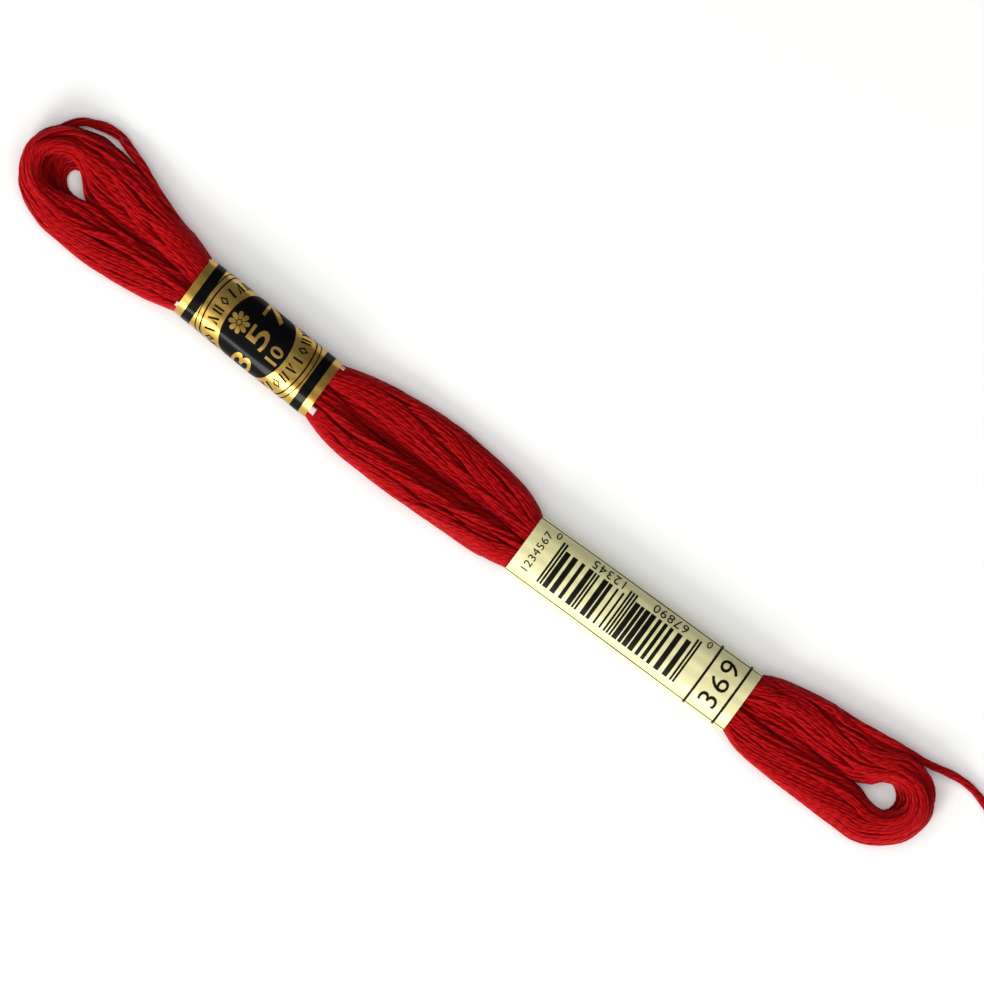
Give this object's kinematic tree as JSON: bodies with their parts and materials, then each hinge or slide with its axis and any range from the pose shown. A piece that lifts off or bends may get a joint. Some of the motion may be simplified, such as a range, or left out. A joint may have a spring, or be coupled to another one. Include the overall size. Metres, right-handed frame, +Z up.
{
  "type": "skein of embroidery floss",
  "caption": "Flat hank of stranded embroidery thread with an eye at each end, held by two paper bands, with one loose thread end.",
  "frame": {"origin": "on the surface the skein lies on, at the middle of the box round the hank and its two bands", "axes": "+X along the hank, from the eye beside the gold band to the eye where the loose end leaves; +Y across the hank, to the side the loose end leaves from; +Z up from the surface"},
  "size_m": [0.1835, 0.0206, 0.0066],
  "materials": {
    "floss": "silky",
    "gold_paper": "metallic gloss",
    "cream_paper": "gloss",
    "floss_end": "silky"
  },
  "bodies": {
    "root": {"skein": "floss", "band_gold": "gold_paper", "band_cream": "cream_paper", "loose_end": "floss_end"}
  },
  "joints": []
}
